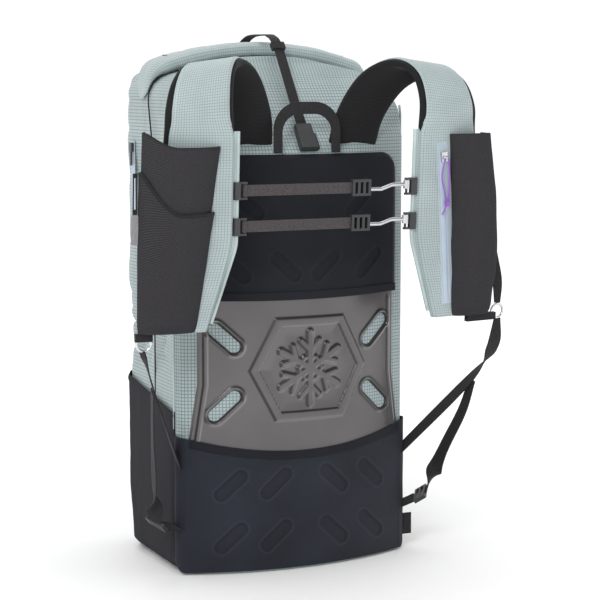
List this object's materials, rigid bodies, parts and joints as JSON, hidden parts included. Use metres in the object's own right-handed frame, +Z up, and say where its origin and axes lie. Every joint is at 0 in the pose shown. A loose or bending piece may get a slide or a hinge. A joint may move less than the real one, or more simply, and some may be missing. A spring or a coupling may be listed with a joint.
{
  "type": "ski backpack",
  "caption": "Touring ski pack with a moulded back sheet under stretch sleeves, pocketed vest style shoulder straps and sternum straps that slide on rails.",
  "frame": {"origin": "middle of the flat base the pack stands on", "axes": "+Z up; the harness and back panel face -Y; +X is the side of the wearer's left shoulder"},
  "size_m": [0.4886, 0.3414, 0.6428],
  "materials": {
    "ripstop_mint": "light grid ripstop",
    "stretch_navy": "smooth stretch knit",
    "moulded_sheet": "satin pearl grey moulding",
    "mesh_charcoal": "stretch mesh",
    "padding_black": "spacer mesh",
    "piping_pale": "piped edge",
    "webbing_black": "flat webbing",
    "webbing_brown": "flat webbing",
    "buckle_black": "moulded",
    "metal_bright": "polished",
    "zip_tape_pale": "coated tape",
    "cord_purple": "braided",
    "pull_grey": "woven"
  },
  "bodies": {
    "pack": {"main_sack": "ripstop_mint", "frame_sheet": "moulded_sheet", "upper_sleeve": "stretch_navy", "lower_sleeve": "stretch_navy", "left_side_pocket": "mesh_charcoal", "right_side_pocket": "mesh_charcoal", "front_pocket": "ripstop_mint", "roll_top": "ripstop_mint", "left_roll_tab": "webbing_black", "right_roll_tab": "webbing_black", "side_zip_tape": "zip_tape_pale", "left_strap_pad": "padding_black", "right_strap_pad": "padding_black", "left_strap_cover": "ripstop_mint", "right_strap_cover": "ripstop_mint", "left_rail": "piping_pale", "right_rail": "piping_pale", "left_bottle_pocket": "mesh_charcoal", "right_flask_pocket": "mesh_charcoal", "right_phone_pocket": "mesh_charcoal", "left_zip_panel": "ripstop_mint", "left_zip_tape": "zip_tape_pale", "left_strap_ring": "metal_bright", "left_ring_tab": "webbing_black", "left_lower_web": "webbing_black", "left_ladder_lock": "buckle_black", "left_adjust_web": "webbing_black", "left_anchor_web": "webbing_black", "right_strap_ring": "metal_bright", "right_ring_tab": "webbing_black", "right_lower_web": "webbing_black", "right_ladder_lock": "buckle_black", "right_adjust_web": "webbing_black", "right_anchor_web": "webbing_black", "left_ring_web": "webbing_black", "side_tag": "webbing_black", "top_buckle_socket": "buckle_black", "top_buckle_anchor": "webbing_black", "top_strap": "webbing_black", "top_strap_keeper": "webbing_black"},
    "upper_web_clip": {"right_upper_clip": "buckle_black"},
    "upper_hook_clip": {"left_upper_clip": "buckle_black"},
    "upper_sternum_strap": {"upper_sternum_web": "webbing_brown", "upper_sternum_buckle": "buckle_black", "upper_sternum_link": "metal_bright"},
    "lower_web_clip": {"right_lower_clip": "buckle_black"},
    "lower_hook_clip": {"left_lower_clip": "buckle_black"},
    "lower_sternum_strap": {"lower_sternum_web": "webbing_brown", "lower_sternum_buckle": "buckle_black", "lower_sternum_link": "metal_bright"},
    "zip_runner": {"zip_slider": "metal_bright"},
    "zip_pull": {"zip_cord_inner": "cord_purple", "zip_cord_outer": "cord_purple", "zip_cord_knot": "cord_purple"},
    "side_zip_runner": {"side_zip_slider": "buckle_black"},
    "top_plug": {"top_buckle_plug": "buckle_black"},
    "handle": {"haul_handle": "webbing_black"},
    "elastic_pull": {"right_pull_loop": "webbing_black", "right_pull_tab": "pull_grey"}
  },
  "joints": [
    {"name": "upper_web_clip_slide", "type": "slide", "parent": "pack", "child": "upper_web_clip", "axis": [0, -0.061, 0.9981], "range_m": [-0.004, 0.04]},
    {"name": "upper_hook_clip_slide", "type": "slide", "parent": "pack", "child": "upper_hook_clip", "axis": [0, -0.061, 0.9981], "range_m": [-0.004, 0.04]},
    {"name": "upper_sternum_swing", "type": "hinge", "parent": "upper_web_clip", "child": "upper_sternum_strap", "pos_m": [-0.10308, -0.18147, 0.46303], "axis": [0, 0.061, -0.9981], "range_deg": [0, 90]},
    {"name": "lower_web_clip_slide", "type": "slide", "parent": "pack", "child": "lower_web_clip", "axis": [0, -0.061, 0.9981], "range_m": [-0.006, 0.014]},
    {"name": "lower_hook_clip_slide", "type": "slide", "parent": "pack", "child": "lower_hook_clip", "axis": [0, -0.061, 0.9981], "range_m": [-0.006, 0.014]},
    {"name": "lower_sternum_swing", "type": "hinge", "parent": "lower_web_clip", "child": "lower_sternum_strap", "pos_m": [-0.10308, -0.17897, 0.42211], "axis": [0, 0.061, -0.9981], "range_deg": [0, 90]},
    {"name": "zip_slide", "type": "slide", "parent": "pack", "child": "zip_runner", "axis": [-0.0866, -0.0699, 0.9938], "range_m": [-0.16, 0]},
    {"name": "zip_pull_lift", "type": "hinge", "parent": "zip_runner", "child": "zip_pull", "pos_m": [0.14952, -0.19035, 0.49707], "axis": [-0.9907, -0.0986, -0.0933], "range_deg": [0, 100]},
    {"name": "side_zip_slide", "type": "slide", "parent": "pack", "child": "side_zip_runner", "axis": [0, 0, 1], "range_m": [-0.078, 0]},
    {"name": "top_buckle_release", "type": "slide", "parent": "pack", "child": "top_plug", "axis": [0, 0.5905, 0.807], "range_m": [0, 0.022]},
    {"name": "handle_fold", "type": "hinge", "parent": "pack", "child": "handle", "pos_m": [0, -0.1264, 0.502], "axis": [1, 0, 0], "range_deg": [0, 75]},
    {"name": "elastic_pull_swing", "type": "hinge", "parent": "pack", "child": "elastic_pull", "pos_m": [-0.23059, -0.17139, 0.48468], "axis": [-1, 0, 0], "range_deg": [0, 60]}
  ],
  "couplings": [
    {"joint": "upper_hook_clip_slide", "follows": "upper_web_clip_slide", "ratio": 1},
    {"joint": "lower_hook_clip_slide", "follows": "lower_web_clip_slide", "ratio": 1}
  ]
}
